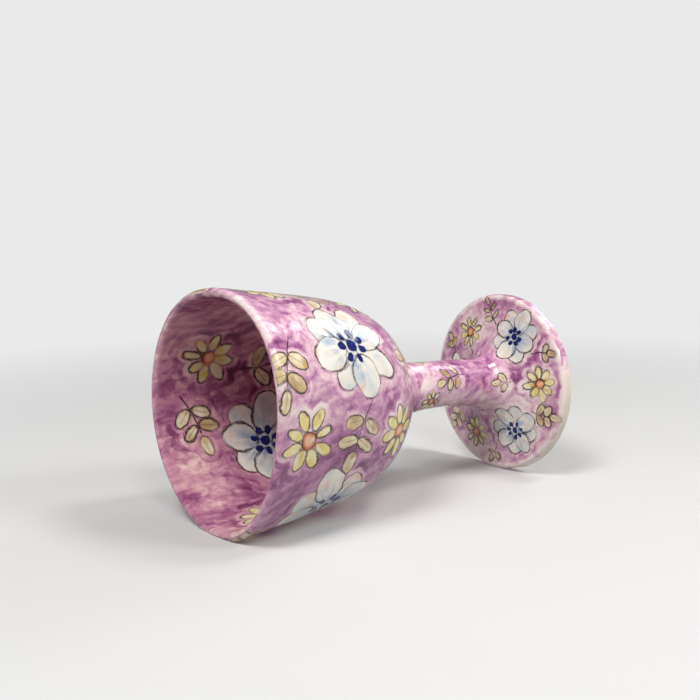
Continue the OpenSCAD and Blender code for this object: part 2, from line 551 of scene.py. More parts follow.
# %% A canvas on a turned piece
LAYERS = ["rose_over", "rose_under", "eye", "daisy_over", "daisy_under", "disc", "leaf"]
LINES = ["vein", "stalk"]
FAR = 9.0
# Normals whose cosine is over SAME_WAY face alike, and a wipe fades out over SOFT_END degrees.
SAME_WAY, MOST_STRETCH, SOFT_END = 0.2, 2, 12


class Canvas:
    """The points of a turned piece, with the paint that lies on them."""

    def __init__(self, piece, skin):
        mesh = piece.data
        count = len(mesh.vertices)
        self.name, self.mesh, self.skin_run = piece.name, mesh, runs(skin)[-1]
        self.points = self.read(mesh.vertices, "co", 3) / MM
        self.normals = self.read(mesh.vertices, "normal", 3)
        self.run = self.read(mesh.attributes["run"].data, "value", 1)[:, 0]
        self.angle = np.degrees(np.arctan2(self.points[:, 1], self.points[:, 0]))
        self.layers = {name: np.full(count, -FAR) for name in LAYERS}
        self.layers.update({name: np.full(count, FAR) for name in LINES})
        self.layers["wiped"] = np.zeros(count)
        self.bloom = np.zeros((count, 3))

    @staticmethod
    def read(data, name, width):
        values = np.zeros(len(data) * width)
        data.foreach_get(name, values)
        return values.reshape(-1, width)

    def near(self, angle, run, turn, far):
        """The points near a place on the skin, and their x and y from it, turned by turn."""
        radius = np.hypot(self.points[:, 0], self.points[:, 1])
        round_gap = np.radians((self.angle - angle + 180) % 360 - 180) * radius
        skin = self.run <= self.skin_run
        i = np.where(skin, round_gap**2 + (self.run - run) ** 2, np.inf).argmin()
        a = math.radians(self.angle[i])
        across = np.array([-math.sin(a), math.cos(a), 0])
        along = np.cross(self.normals[i], across)
        apart = self.points - self.points[i]
        x, y = apart @ across, apart @ along
        # The skin bends away from x and y, so both are stretched to the real distance.
        stretch = np.sqrt((apart**2).sum(1)) / np.maximum(np.hypot(x, y), 1e-6)
        close = (np.hypot(x, y) * stretch < far) & (stretch < MOST_STRETCH)
        here = np.flatnonzero(close & (self.normals @ self.normals[i] > SAME_WAY))
        x, y = (x * stretch)[here], (y * stretch)[here]
        c, s = math.cos(math.radians(turn)), math.sin(math.radians(turn))
        return here, x * c + y * s, y * c - x * s

    def wipe(self, run, width, depth=1.0, middle=0, spread=400):
        """Wash taken off along a line round the piece, or round a part of it.

        It is taken off in full for half a width beside the line, and not at all a width further.
        """
        off = np.abs((self.angle - middle + 180) % 360 - 180)
        part = np.clip((spread - off) / SOFT_END, 0, 1)
        band = np.clip(1.5 - np.abs(self.run - run) / width, 0, 1)
        self.layers["wiped"] = np.maximum(self.layers["wiped"], part * band * depth)

    def fill(self, layer, here, depth):
        self.layers[layer][here] = np.maximum(self.layers[layer][here], depth)

    def line(self, layer, here, side):
        old = self.layers[layer][here]
        self.layers[layer][here] = np.where(np.abs(side) < np.abs(old), side, old)

    def finish(self):
        """Stores the paint on the mesh, where the shader reads it by name."""
        for name, values in self.layers.items():
            self.mesh.attributes.new(name, "FLOAT", "POINT").data.foreach_set("value", values)
        bloom = self.mesh.attributes.new("bloom", "FLOAT_VECTOR", "POINT")
        bloom.data.foreach_set("vector", self.bloom.ravel())
        drawn = np.max([self.layers[name] for name in LAYERS], axis=0) > 0
        print(f"{self.name}: {drawn.mean():.0%} of its points lie inside a drawn shape")


# %% Shapes that a brush makes
AROUND, OWN_EDGE = 6, 2.5


def oval(x, y, far, long, wide, turn=0.0):
    """Depth inside an oval whose middle lies far out along turn, pointing outwards."""
    c, s = math.cos(turn), math.sin(turn)
    p, q = (x * c + y * s - far) / long, (y * c - x * s) / wide
    level = np.hypot(p, q) + 1e-6
    steep = np.hypot(p / long, q / wide) + 1e-6 / long
    return (1 - level) * level / steep


def colour_places(canvas, here, x, y, size, depth, hand):
    """Where each point lies in its own flower or leaf, for the brushwork inside it."""
    own = depth > -OWN_EDGE
    spots = np.column_stack([x[own] / size, y[own] / size, np.full(own.sum(), hand.uniform(1, 90))])
    canvas.bloom[here[own]] = spots


print(f"1 mm inside the tip of an oval the depth is {oval(4, 0, 0, 5, 2):.1f} mm")

# %% [markdown]
# ## Three kinds of flower work
#
# The pattern is a plain cottage one. A rosette has eight round white petals, tinted with blue
# and peach, and a ring of cobalt dots for its heart. A daisy has eight narrow yellow petals
# round an orange disc. A sprig is a bent stalk with small round leaves, a pair at a time. Each
# is drawn to a size of 1 and scaled, and a seeded hand makes every one a little different.

# %% Rosettes and daisies
PETALS, DOTS, HEART_R, FLOWER_R = 8, 7, 0.5, 1.1
ROSETTE_PETAL, DAISY_PETAL = (0.60, 0.40, 0.31), (0.64, 0.36, 0.19)
EYE_R, DOT_FAR, DOT_LONG, DOT_WIDE = 0.12, 0.26, 0.095, 0.07
DISC_LONG, DISC_WIDE = 0.30, 0.27


def petals(canvas, hand, angle, run, size, shape, layers):
    """Lays a ring of petals, every other one under its neighbours.

    It gives back the points near the flower, their x and y in it, their depth in the round heart
    where the petals meet, and their greatest depth in the heart or any petal.
    """
    here, x, y = canvas.near(angle, run, hand.uniform(0, 360), FLOWER_R * size + AROUND)
    far, long, wide = (value * size for value in shape)
    deepest = heart = HEART_R * size - np.hypot(x, y)
    for k in range(PETALS):
        turn = math.tau * (k + hand.uniform(-0.07, 0.07)) / PETALS
        grow = hand.uniform(0.90, 1.10)
        depth = oval(x, y, far * grow, long * grow, wide * hand.uniform(0.90, 1.12), turn)
        canvas.fill(layers[k % 2], here, depth)
        deepest = np.maximum(deepest, depth)
    return here, x, y, heart, deepest


def rosette(canvas, hand, angle, run, size):
    layers = ("rose_over", "rose_under")
    here, x, y, heart, depth = petals(canvas, hand, angle, run, size, ROSETTE_PETAL, layers)
    canvas.fill("rose_under", here, heart)
    canvas.fill("eye", here, EYE_R * size * hand.uniform(0.9, 1.1) - np.hypot(x, y))
    for k in range(DOTS):
        turn = math.tau * (k + hand.uniform(-0.12, 0.12)) / DOTS
        wide = DOT_WIDE * size * hand.uniform(0.8, 1.2)
        canvas.fill("eye", here, oval(x, y, DOT_FAR * size, DOT_LONG * size, wide, turn))
    colour_places(canvas, here, x, y, size, depth, hand)


def daisy(canvas, hand, angle, run, size):
    layers = ("daisy_over", "daisy_under")
    here, x, y, _, depth = petals(canvas, hand, angle, run, size, DAISY_PETAL, layers)
    disc = oval(x, y, 0, DISC_LONG * size, DISC_WIDE * size, hand.uniform(0, 3))
    canvas.fill("disc", here, disc)
    colour_places(canvas, here, x, y, size, depth, hand)


for flower, (_, long, wide) in (("rosette", ROSETTE_PETAL), ("daisy", DAISY_PETAL)):
    print(f"a {flower}'s petal is {wide / long:.0%} as wide as it is long")

# %% Sprigs
SPRIG_R, STALK_BEND, STALK_LOW, STALK_TOP = 0.7, 1.3, -0.5, 0.24
LEAF_LONG, LEAF_WIDE, LEAF_FAR, LEAF_RISE = 0.17, 0.095, 1.12, 0.5
FIRST_PAIR, PAIR_GAP, VEIN_END = 0.06, 0.28, 1.8


def sprig(canvas, hand, angle, run, size, turn=0.0, pairs=2):
    """A stalk that bends to one side, with leaves in pairs and one on top."""
    here, x, y = canvas.near(angle, run, turn, SPRIG_R * size + AROUND)
    side = hand.choice([-1, 1])
    bend = STALK_BEND * size * side
    off_stalk = (np.hypot(x - bend, y) - abs(bend)) * side
    on_stalk = (y > STALK_LOW * size) & (y < STALK_TOP * size)
    canvas.line("stalk", here[on_stalk], off_stalk[on_stalk])
    long, wide = LEAF_LONG * size, LEAF_WIDE * size
    leaves = [(STALK_TOP * size, math.pi / 2)]
    for k in range(pairs):
        height = (FIRST_PAIR - PAIR_GAP * k) * size
        leaves += [(height, LEAF_RISE), (height, math.pi - LEAF_RISE)]
    deepest = np.full(len(here), -FAR)
    for up, way in leaves:
        px, py = x - bend + side * math.sqrt(bend**2 - up**2), y - up
        way += hand.uniform(-0.15, 0.15)
        depth = oval(px, py, LEAF_FAR * long, long, wide * hand.uniform(0.9, 1.15), way)
        canvas.fill("leaf", here, depth)
        deepest = np.maximum(deepest, depth)
        out, aside = px * math.cos(way) + py * math.sin(way), py * math.cos(way) - px * math.sin(way)
        on_vein = (out > 0) & (out < VEIN_END * long)
        canvas.line("vein", here[on_vein], aside[on_vein])
    colour_places(canvas, here, x, y, 0.6 * size, deepest, hand)


print(f"a sprig of size 25 has leaves {2 * LEAF_LONG * 25:.1f} mm long, {PAIR_GAP * 25:.0f} mm apart")

# %% [markdown]
# ## Colours
#
# The colours are the fired ones, seen through a clear glaze, except one warm tint that is
# painted light: the glow bounced between the cup's painted inner walls. Each colour is
# written as a painter's screen colour, from 0 to 255, and turned into the linear light
# values that Blender mixes.

# %% A paint box


def paint(red, green, blue):
    """A screen colour as linear light, with full alpha."""
    shares = [level / 255 for level in (red, green, blue)]
    linear = [s / 12.92 if s <= 0.04045 else ((s + 0.055) / 1.055) ** 2.4 for s in shares]
    return (*linear, 1.0)


BARE_WHITE, THIN_LILAC, LILAC = paint(246, 228, 222), paint(234, 198, 206), paint(206, 150, 180)
PURPLE, DEEP_PURPLE = paint(162, 96, 143), paint(114, 58, 98)
LINE_BROWN = paint(60, 44, 44)
CREAM, PALE_CREAM = paint(238, 228, 214), paint(246, 240, 230)
PALE_BLUE, CLEAR_BLUE, PEACH = paint(190, 204, 212), paint(118, 156, 186), paint(236, 190, 166)
COBALT, COBALT_THIN = paint(22, 30, 98), paint(52, 74, 150)
YELLOW, OCHRE, PALE_YELLOW = paint(238, 218, 130), paint(218, 184, 96), paint(246, 236, 196)
ORANGE, RED_ORANGE, PALE_ORANGE = paint(236, 148, 92), paint(208, 92, 56), paint(246, 206, 172)
TAN, OLIVE, PALE_TAN = paint(220, 194, 148), paint(180, 144, 92), paint(240, 226, 198)
CLAY, CLAY_SHADE, CLAY_SPECK = paint(228, 216, 196), paint(206, 186, 158), paint(146, 112, 82)
SLIP = paint(212, 198, 174)
# Painted light, not a fired colour: a warm tint for light bounced inside the painted cup.
PAINTED_BOUNCE_TINT = paint(255, 247, 236)
print("lilac in linear light:", [round(level, 3) for level in LILAC[:3]])

# %% [markdown]
# ## The brushed wash
#
# The ground is thin watercolour: large pale and dark pools, strokes laid in two directions and
# a fine grain of pigment. Close to a drawn shape the strokes follow its edge, and in places
# they leave a pale ragged halo or a darker stroke round it. They run in rings where the bowl
# meets the stem. The wash is thinner on the foot and low on the bowl, and a sponge has wiped
# some of it off the edges. A noise's scale counts its bumps in a metre, so a scale of 34 makes
# pools three centimetres wide, and 1700 a grain finer than a millimetre.

# %% Strokes
WIDE_TO_LONG = 0.22
# Each set of strokes is a width in metres and a turn about the three axes.
STROKES, CROSS_STROKES = (0.0026, (0.5, 0.4, 0.2)), (0.0030, (1.3, 0.3, 0.9))


def new_material(name):
    material = bpy.data.materials.new(name)
    return material, blank_graph(material)


def mixed(g, share, first, second, blend="MIX"):
    settings = {"data_type": "RGBA", "blend_type": blend}
    return g.add("ShaderNodeMix", settings, {0: share, 6: first, 7: second}, out=2)


def cell_tones(g, place):
    """Laid strokes: cells of a tone of their own, with bristle marks along them."""
    wanted = {"Vector": place, "Scale": 1.0, "Smoothness": 0.3}
    cells = g.add("ShaderNodeTexVoronoi", {"feature": "SMOOTH_F1"}, wanted, out="Color")
    return g.apart(cells)[0] * 0.6 + g.noise(place, 3.2, 3.0) * 0.4


def brushed(g, place, width, turn, seed):
    """Places stretched along one way, so that a pattern on them becomes strokes of one width."""
    size = (width, width / WIDE_TO_LONG, width)
    mapping = {"Vector": place, "Location": (seed, 0, 0), "Rotation": turn, "Scale": size}
    return g.add("ShaderNodeMapping", {"vector_type": "TEXTURE"}, mapping)


for width, _ in (STROKES, CROSS_STROKES):
    print(f"strokes {width / MM:.1f} mm wide and {width / WIDE_TO_LONG / MM:.0f} mm long")

# %% The wash
GROUND = [
    (0.0, BARE_WHITE),
    (0.22, THIN_LILAC),
    (0.48, LILAC),
    (0.74, PURPLE),
    (1.0, DEEP_PURPLE),
]
# The noises' scales, in bumps to a metre.
POOLS, DRIFT, PATCHES, SPONGE, RAGGED = 34.0, 60.0, 70.0, 160.0, 210.0
SOFT_GRAIN, ROUGH, GRAIN = 420.0, 700.0, 1700.0
DRIFT_FAR, ROUGH_FAR, MEAN_BRUSHWORK = 0.009, 0.0011, 0.57


def loosened(g, place, seed):
    """A small ragged shift, and the place moved by it and by a slow drift."""
    middle = (0.5, 0.5, 0.5)
    drift = g.vector("SUBTRACT", g.noise(place, DRIFT, 2.0, seed, "Color"), middle)
    rough = g.vector("SUBTRACT", g.noise(place, ROUGH, 2.0, seed, "Color"), middle)
    drifted = g.vector("ADD", place, g.scaled(drift, DRIFT_FAR))
    return rough, g.vector("ADD", drifted, g.scaled(rough, ROUGH_FAR))


def brushwork(g, place, rough, loose, near_shape, seed):
    """Pools, strokes and grain, before anything thins the wash."""
    pools = g.noise(loose, POOLS, 2.0, seed).ramp(0.34, 0.66)
    one = cell_tones(g, brushed(g, loose, *STROKES, seed))
    other = g.noise(brushed(g, loose, *CROSS_STROKES, seed + 2), 1.0, 2.0).ramp(0.30, 0.70)
    round_shape = g.vector("ADD", g.scaled(place, 60.0), g.scaled(rough, 0.8))
    round_shape = g.vector("ADD", round_shape, g.together(near_shape * 0.50, 0.0, 0.0))
    close = near_shape.ramp(-5.2, -3.2)
    one = cell_tones(g, round_shape) * close + one * (1 - close)
    soft = g.waver(loose, SOFT_GRAIN, 3.0, seed + 4, 0.36)
    grain = g.waver(place, GRAIN, 2.0, seed, 0.22)
    return pools * 0.36 + one * 0.48 + other * 0.28 + soft + grain


def wash(g, place, near_shape, wiped, strength, seed):
    """How much lilac lies on the clay, from 0 to 1."""
    rough, loose = loosened(g, place, seed)
    amount = brushwork(g, place, rough, loose, near_shape, seed) + (strength - MEAN_BRUSHWORK)

    ragged = near_shape + g.waver(loose, RAGGED, 3.0, seed + 5, 4.6)
    here_and_there = g.noise(place, PATCHES, 1.0, seed + 6)
    halo = ragged.ramp(-2.6, -0.8) * here_and_there.ramp(0.34, 0.58)
    off_shape = ragged * -1
    round_stroke = off_shape.ramp(1.6, 2.6) * (1 - off_shape.ramp(4.0, 5.2))
    amount = amount - halo * 0.24 + round_stroke * here_and_there.ramp(0.48, 0.60) * 0.26

    height = g.apart(place)[2] * (1 / MM)
    amount = amount + height.ramp(bowl_z - 8, bowl_z + 30) * 0.08
    amount = amount + height.ramp(edge_h - 1, foot_z) * 0.07 - 0.07
    joint = 1 - abs(height - bowl_z).ramp(2.0, 10.0)
    rings = g.vector("MULTIPLY", loose, (150.0, 150.0, 620.0))
    amount = amount + g.waver(rings, 1.0, 2.0, seed, 1.1) * joint
    return amount - wiped * (g.noise(loose, SPONGE, 2.0, seed + 7).ramp(0.3, 0.6) * 0.6 + 0.4)


def ground_colour(g, amount):
    return g.add("ShaderNodeValToRGB", {"stops": GROUND}, {"Fac": amount}, out="Color")


print(f"{len(GROUND)} tones, in pools {1000 / POOLS:.0f} mm wide and a grain of {1000 / GRAIN:.1f} mm")

# %% [markdown]
# ## The drawn lines
#
# A thin dark line goes round each shape. The hand behind it shakes, presses now harder and now
# more softly, and in places draws the outline twice. A depth field gives such a line for
# nothing: it is dark where the depth is close to nought, and noise moves that place and
# changes the line's width. A shape that lies over another hides the other's line.

# %% The pen
LEAST_WIDTH, WIDTH_SPREAD = 0.14, 0.62
TWICE, PRESSURE, TREMOR, SHAKE = 120.0, 240.0, 480.0, 1500.0


def drawn_line(depth, width):
    return 1 - abs(depth).ramp(width * 0.35, width)


def over(under_line, top_depth):
    """A line that a shape on top of it hides."""
    return under_line * (1 - top_depth.ramp(-0.1, 0.1))


class Pen:
    """How the hand shakes and presses on one coat, and where it draws twice."""

    def __init__(self, g, place, seed, width):
        self.tremor = g.waver(place, TREMOR, 1.0, seed, 0.9)
        self.shake = self.tremor + g.waver(place, SHAKE, 2.0, seed + 1, 0.6)
        pressure = g.noise(place, PRESSURE, 1.0, seed + 4)
        self.width = (LEAST_WIDTH + pressure * WIDTH_SPREAD) * width
        self.twice = g.noise(place, TWICE, 1.0, seed + 17).ramp(0.50, 0.56) * 0.7

    def outline(self, depth):
        """A line drawn round a shape, and in places a thinner one beside it."""
        second = drawn_line(depth + self.tremor * -1.6 + 0.55, self.width * 0.6)
        return drawn_line(depth + self.shake, self.width).most(second * self.twice)

    def petals(self, upper, lower):
        """The outlines of a ring of petals in two layers."""
        return self.outline(upper).most(over(self.outline(lower), upper))


def all_lines(pen, read, daisy, rose):
    """Every drawn line, where no shape hides it."""
    in_leaf = read["leaf"].ramp(-0.2, 0.2)
    vein = drawn_line(read["vein"] + pen.shake * 0.3, pen.width * 0.6) * in_leaf * 0.45
    stalk = drawn_line(read["stalk"] + pen.shake * 0.6, pen.width * 0.9)
    line = over(over(pen.outline(read["leaf"]).most(vein).most(stalk), daisy), rose)
    line = line.most(over(pen.petals(read["daisy_over"], read["daisy_under"]), read["disc"]))
    line = line.most(pen.outline(read["disc"]))
    return over(line, rose).most(pen.petals(read["rose_over"], read["rose_under"]))


print(f"a line reaches {LEAST_WIDTH} to {LEAST_WIDTH + WIDTH_SPREAD:.2f} mm to each side of its middle")

# %% [markdown]
# ## Thin fills
#
# The fills are thin colour, dabbed on and never even. Leaves are tan with olive blots, daisies
# pale yellow to ochre, and their discs orange, paler in the middle. Rosettes are white, with
# blue that runs out from the heart and peach towards the tips. The dabs follow the clay, and
# the blots and the blue strokes follow each flower's own places, so no two are tinted alike.

# %% The fills


def leaf_paint(g, place, dabs, seed):
    fill = mixed(g, dabs.ramp(0.35, 0.65), TAN, PALE_TAN)
    return mixed(g, g.noise(place, 150.0, 1.0, seed + 8).ramp(0.48, 0.66) * 0.8, fill, OLIVE)


def daisy_paint(g, dabs, blot):
    fill = mixed(g, dabs.ramp(0.38, 0.62), PALE_YELLOW, YELLOW)
    return mixed(g, blot.ramp(0.50, 0.75), fill, OCHRE)


def disc_paint(g, dabs, blot, depth):
    fill = mixed(g, blot.ramp(0.4, 0.62), ORANGE, RED_ORANGE)
    return mixed(g, dabs.ramp(0.52, 0.62).most(depth.ramp(0.5, 1.9) * 0.8), fill, PALE_ORANGE)


def rosette_paint(g, dabs, blot, bloom, seed):
    flat_bloom = g.vector("MULTIPLY", bloom, (1, 1, 0))
    out_share = g.vector("LENGTH", flat_bloom, out="Value")
    spokes = g.scaled(g.vector("NORMALIZE", flat_bloom), 2.6)
    strokes = g.noise(g.vector("ADD", spokes, bloom), 1.5, 3.0, seed)
    blue = (strokes * 0.6 + dabs * 0.4).ramp(0.42, 0.62) * (1 - out_share.ramp(0.30, 0.95))
    peach = (g.noise(bloom, 3.1, 2.0, seed + 7) * 0.7 + dabs * 0.3).ramp(0.52, 0.66)
    fill = mixed(g, dabs.ramp(0.35, 0.65), CREAM, PALE_CREAM)
    fill = mixed(g, blot.ramp(0.44, 0.66) * 0.6, fill, PALE_BLUE)
    fill = mixed(g, blue * 0.85, fill, CLEAR_BLUE)
    return mixed(g, peach * out_share.ramp(0.3, 0.8) * 0.85, fill, PEACH)


trial, g = new_material("trial")
place = g.add("ShaderNodeTexCoord", out="Object")
leaf_paint(g, place, g.noise(place, 260.0), 0.0)
print("a leaf's fill takes", len(g.tree.nodes), "nodes")
bpy.data.materials.remove(trial)

# %% [markdown]
# ## The painted coats
#
# One function lays it all on a coat: the wash, then the leaves, the daisies and the rosettes,
# and the dark lines and cobalt hearts on top. The fills don't quite meet their outlines,
# because they were filled by hand. Inside the bowl the pen is thicker, and the wash gets a
# warm tint that is painted light, for the glow bounced between the cup's painted walls.
# Clay shows where the foot's edge was wiped hardest. Over it all lies a clear glossy
# glaze, so the roughness is low and the bump is a slow, shallow swell that breaks up the
# lamps' reflections.

# %% Swaying shapes on worn ground
SWAYING = {"rose_over": 1, "rose_under": 1, "leaf": 0.5, "daisy_over": 0.45, "daisy_under": 0.45}
SWAY, SWAY_FAR, WOBBLE, WOBBLE_FAR = 85.0, 3.2, 210.0, 1.5


def read_depths(g, place, seed):
    """The painted depths, with the slow sway and the wobble of a hand in them."""
    read = {}
    for name in LAYERS + LINES + ["wiped"]:
        read[name] = g.add("ShaderNodeAttribute", {"attribute_name": name}, out="Fac")
    sway = g.waver(place, SWAY, 0.0, seed + 15, SWAY_FAR)
    wobble = g.waver(place, WOBBLE, 0.0, seed + 16, WOBBLE_FAR)
    for name, share in SWAYING.items():
        read[name] = read[name] + sway * share + wobble * (0.4 + share * 0.6)
    return read


def ground(g, place, shapes, wiped, strength, seed, bounce_tint):
    """The washed clay, tinted with painted bounce light where asked, bare where it was wiped hardest.
    """
    colour = ground_colour(g, wash(g, place, shapes, wiped, strength, seed))
    # Painted light: the wash is tinted warm here, for light bounced off the cup's painted walls.
    colour = mixed(g, bounce_tint, colour, PAINTED_BOUNCE_TINT, "MULTIPLY")
    worn = wiped.ramp(0.5, 0.9) * g.noise(place, SPONGE, 2.0, seed + 7).ramp(0.25, 0.55)
    return mixed(g, worn * 0.8, colour, CLAY)


print(f"the shapes' edges sway by up to {(SWAY_FAR + WOBBLE_FAR) / 2:.1f} mm either way")

# %% The painted finish
GLOSS, GLOSS_CHANGE, GLAZE_INDEX = 0.07, 0.08, 1.52
SWELL, RIPPLE, SWELL_DEPTH = 95.0, 310.0, 0.0009
PRESS, FILL_EDGE, DABS, COBALT_THINS, CRUMBS = 130.0, 170.0, 260.0, 900.0, 2300.0


def painted_glaze(name, strength, seed, pen_width=1.0, bounce_tint=0.0):
    material, g = new_material(name)
    place = g.add("ShaderNodeTexCoord", out="Object")
    bloom = g.add("ShaderNodeAttribute", {"attribute_name": "bloom"}, out="Vector")
    read, pen = read_depths(g, place, seed), Pen(g, place, seed, pen_width)
    rose = read["rose_over"].most(read["rose_under"])
    daisy = read["daisy_over"].most(read["daisy_under"])
    shapes = rose.most(daisy).most(read["leaf"])
    fill_edge = g.waver(place, FILL_EDGE, 2.0, seed + 9, 1.3)
    blot, dabs = g.noise(bloom, 2.4, 2.0, seed), g.noise(place, DABS, 3.0, seed + 12)

    colour = ground(g, place, shapes, read["wiped"], strength, seed, bounce_tint)
    fills = [
        (read["leaf"], 0.6, 0.25, leaf_paint(g, place, dabs, seed)),
        (daisy, 0.5, 0.2, daisy_paint(g, dabs, blot)),
        (read["disc"], 0.3, 0.15, disc_paint(g, dabs, blot, read["disc"] + fill_edge * 1.2)),
        (rose, 0.5, 0.25, rosette_paint(g, dabs, blot, bloom, seed)),
    ]
    for depth, slack, edge, fill in fills:
        colour = mixed(g, (depth + fill_edge * slack).ramp(-edge, edge), colour, fill)
    pressed = g.noise(place, PRESS, 1.0, seed + 11).ramp(0.34, 0.54) * 0.68 + 0.30
    crumbs = g.noise(place, CRUMBS, 1.0, seed + 13).ramp(0.30, 0.52) * 0.5 + 0.5
    colour = mixed(g, all_lines(pen, read, daisy, rose) * pressed * crumbs, colour, LINE_BROWN)
    cobalt = mixed(g, g.noise(place, COBALT_THINS, 2.0, seed).ramp(0.5, 0.8), COBALT, COBALT_THIN)
    colour = mixed(g, (read["eye"] + pen.shake * 1.3).ramp(-0.2, 0.1), colour, cobalt)

    swell = g.noise(place, SWELL, 1.0, seed + 20) + g.noise(place, RIPPLE, 1.0, seed + 21) * 0.3
    looks = {
        "Base Color": colour,
        "Roughness": GLOSS + g.noise(place, 240.0, 2.0, seed + 22) * GLOSS_CHANGE,
        "Normal": g.bump(swell, SWELL_DEPTH),
        "IOR": GLAZE_INDEX,
    }
    g.surface(looks)
    return material


outside_finish = painted_glaze("outside glaze", 0.47, 3.0)
# The inside coat gets the painted warm bounce light.
inside_finish = painted_glaze("inside glaze", 0.44, 31.0, pen_width=1.45, bounce_tint=1.0)
stem_finish = painted_glaze("stem glaze", 0.47, 3.0)
foot_finish = painted_glaze("foot glaze", 0.47, 3.0)
print("painted finish:", len(outside_finish.node_tree.nodes), "nodes")

# %% [markdown]
# ## Bare clay, slip and the plain glaze underneath
#
# The ring that the goblet stands on is wiped free of glaze, so the fired clay shows there: a
# warm cream with darker specks, dry and slightly gritty. The slip in the joints is the same
# clay, brushed on wet. The hollow under the foot was only dipped, and shows clay through glaze.

# %% Clay, slip and plain glaze
CLOUD, SPECKS, GRIT = 55.0, 700.0, 1500.0
DIPPED_DEPTH, GRIT_DEPTH = 0.0006, 0.00012


def clay_finish(name, body, roughness, glazed=False):
    material, g = new_material(name)
    place = g.add("ShaderNodeTexCoord", out="Object")
    cloud, grit = g.noise(place, CLOUD, 3.0, 5.0), g.noise(place, GRIT, 3.0, 6.0)
    specks = g.noise(place, SPECKS, 1.0, 8.0).ramp(0.64, 0.74)
    colour = mixed(g, cloud.ramp(0.3, 0.75) * 0.42, body, CLAY_SHADE)
    colour = mixed(g, specks * 0.7, colour, CLAY_SPECK)
    height = g.noise(place, SWELL, 1.0, 9.0) if glazed else grit
    looks = {
        "Base Color": colour,
        "Roughness": roughness + grit * 0.08,
        "Normal": g.bump(height, DIPPED_DEPTH if glazed else GRIT_DEPTH),
    }
    g.surface(looks)
    return material


bare_clay = clay_finish("bare clay", CLAY, 0.62)
joint_slip = clay_finish("joint slip", SLIP, 0.68)
dipped_glaze = clay_finish("dipped glaze", CLAY, 0.10, glazed=True)
print("plain finishes:", ", ".join(m.name for m in (bare_clay, joint_slip, dipped_glaze)))

# %% [markdown]
# ## Turning the pieces
#
# The painted coats are turned fine, with points about two thirds of a millimetre apart, so
# that their drawn lines stay crisp. The side of a coat that lies on the clay never shows and
# is turned coarser. The clay and slip pieces are closed on the axis, the coats on themselves.

# %% Sections of the pieces
FINE, STEM_FINE, MEDIUM, COARSE = 0.66, 0.45, 1.5, 3.0


def coat(skin, first, last, gap):
    """The closed section of a coat: its skin, then the clay under it, back to the start."""
    clay = under(skin, first, last)
    return chain(even(skin, gap), even(clay, COARSE)[::-1], skin[0])


bowl_clay_out = even(under(outside_skin, OUT, UP), MEDIUM)
bowl_clay_in = even(under(inside_skin, UP, UP), MEDIUM)
foot_clay_top = even(under(foot_skin, OUT, OUT), MEDIUM)
foot_clay_low = even(under(hollow_skin, DOWN, IN), MEDIUM)
stem_clay = stem_skin - [glaze_t, 0]
low_z, high_z = foot_z + slip_t, bowl_z - slip_t
in_stem = (heights > low_z) & (heights < high_z)
low_end, high_end = [(np.interp(z, heights, stem_clay[:, 0]), z) for z in (low_z, high_z)]

sections = {
    "bowl_outside_coat": coat(outside_skin, OUT, UP, FINE),
    "bowl_inside_coat": coat(inside_skin, UP, UP, FINE),
    "stem_coat": coat(stem_skin, OUT, OUT, STEM_FINE),
    "foot_coat": coat(foot_skin, OUT, OUT, FINE),
    "underfoot_coat": coat(hollow_skin, DOWN, IN, MEDIUM),
    "bowl_clay": chain((0, bowl_z), bowl_clay_out, bowl_clay_in),
    "stem_clay": chain((0, low_z), low_end, even(stem_clay[in_stem], MEDIUM), high_end, (0, high_z)),
    "foot_clay": chain(foot_clay_low, ring, foot_clay_top, (0, foot_z)),
    "bowl_joint": chain((0, high_z), high_end, (stem_clay[-1, 0], bowl_z), (0, bowl_z)),
    "foot_joint": chain((0, foot_z), (stem_clay[0, 0], foot_z), low_end, (0, low_z)),
}
print("sections:", {name: len(section) for name, section in sections.items()})

# %% Turn them all
# Each plan is a name, the steps round, the finish, the node it stands for and its material slot.
PLANS = [
    ("bowl_outside_coat", 410, outside_finish, "bowl_outside_glaze", "bowl_outside_glaze"),
    ("bowl_inside_coat", 390, inside_finish, "bowl_inside_glaze", "bowl_inside_glaze"),
    ("stem_coat", 170, stem_finish, "stem_glaze", "stem_glaze"),
    ("foot_coat", 360, foot_finish, "foot_glaze", "foot_glaze"),
    ("underfoot_coat", 180, dipped_glaze, "underfoot_glaze", "underfoot_glaze"),
    ("bowl_clay", 180, bare_clay, "bowl", "clay"),
    ("stem_clay", 90, bare_clay, "stem", "clay"),
    ("foot_clay", 240, bare_clay, "foot", "clay"),
    ("bowl_joint", 90, joint_slip, "bowl_slip", "slip"),
    ("foot_joint", 90, joint_slip, "foot_slip", "slip"),
]
pieces = {
    name: turned(name, sections[name], steps, finish, node)
    for name, steps, finish, node, slot in PLANS
}

# %% [markdown]
# ## Laying out the pattern
#
# The pattern goes round the goblet in steps, as a potter marks it out: rosettes a quarter
# turn apart on the bowl, daisies between them above and below, and sprigs in what is left.
# Each call gives a shape's angle round the goblet, its run along the profile and its size. Each
# canvas draws from its own seeded hand, so that the pattern comes out the same each time.

# %% Paint the bowl
QUARTERS, THIRDS = (0, 90, 180, 270), (0, 120, 240)

canvas = Canvas(pieces["bowl_outside_coat"], outside_skin)
canvas.wipe(canvas.skin_run, 1.8, depth=0.10)
canvas.wipe(canvas.skin_run, 2.8, depth=0.4, middle=-75, spread=60)
hand = np.random.default_rng(11)
for quarter in QUARTERS:
    sprig(canvas, hand, 217 + quarter, 61, 25, turn=75)
    sprig(canvas, hand, 250 + quarter, 91.5, 24, turn=80)
    sprig(canvas, hand, 262 + quarter, 24, 22, turn=10)
for k, quarter in enumerate(QUARTERS):
    daisy(canvas, hand, 218 + quarter, 84 - 4 * (k % 2), 10.5)
    daisy(canvas, hand, 214 + quarter, 38 + 3 * (k % 2), 9.5)
    rosette(canvas, hand, 262 + quarter, 60 + 5 * (k % 2), 19)
canvas.finish()

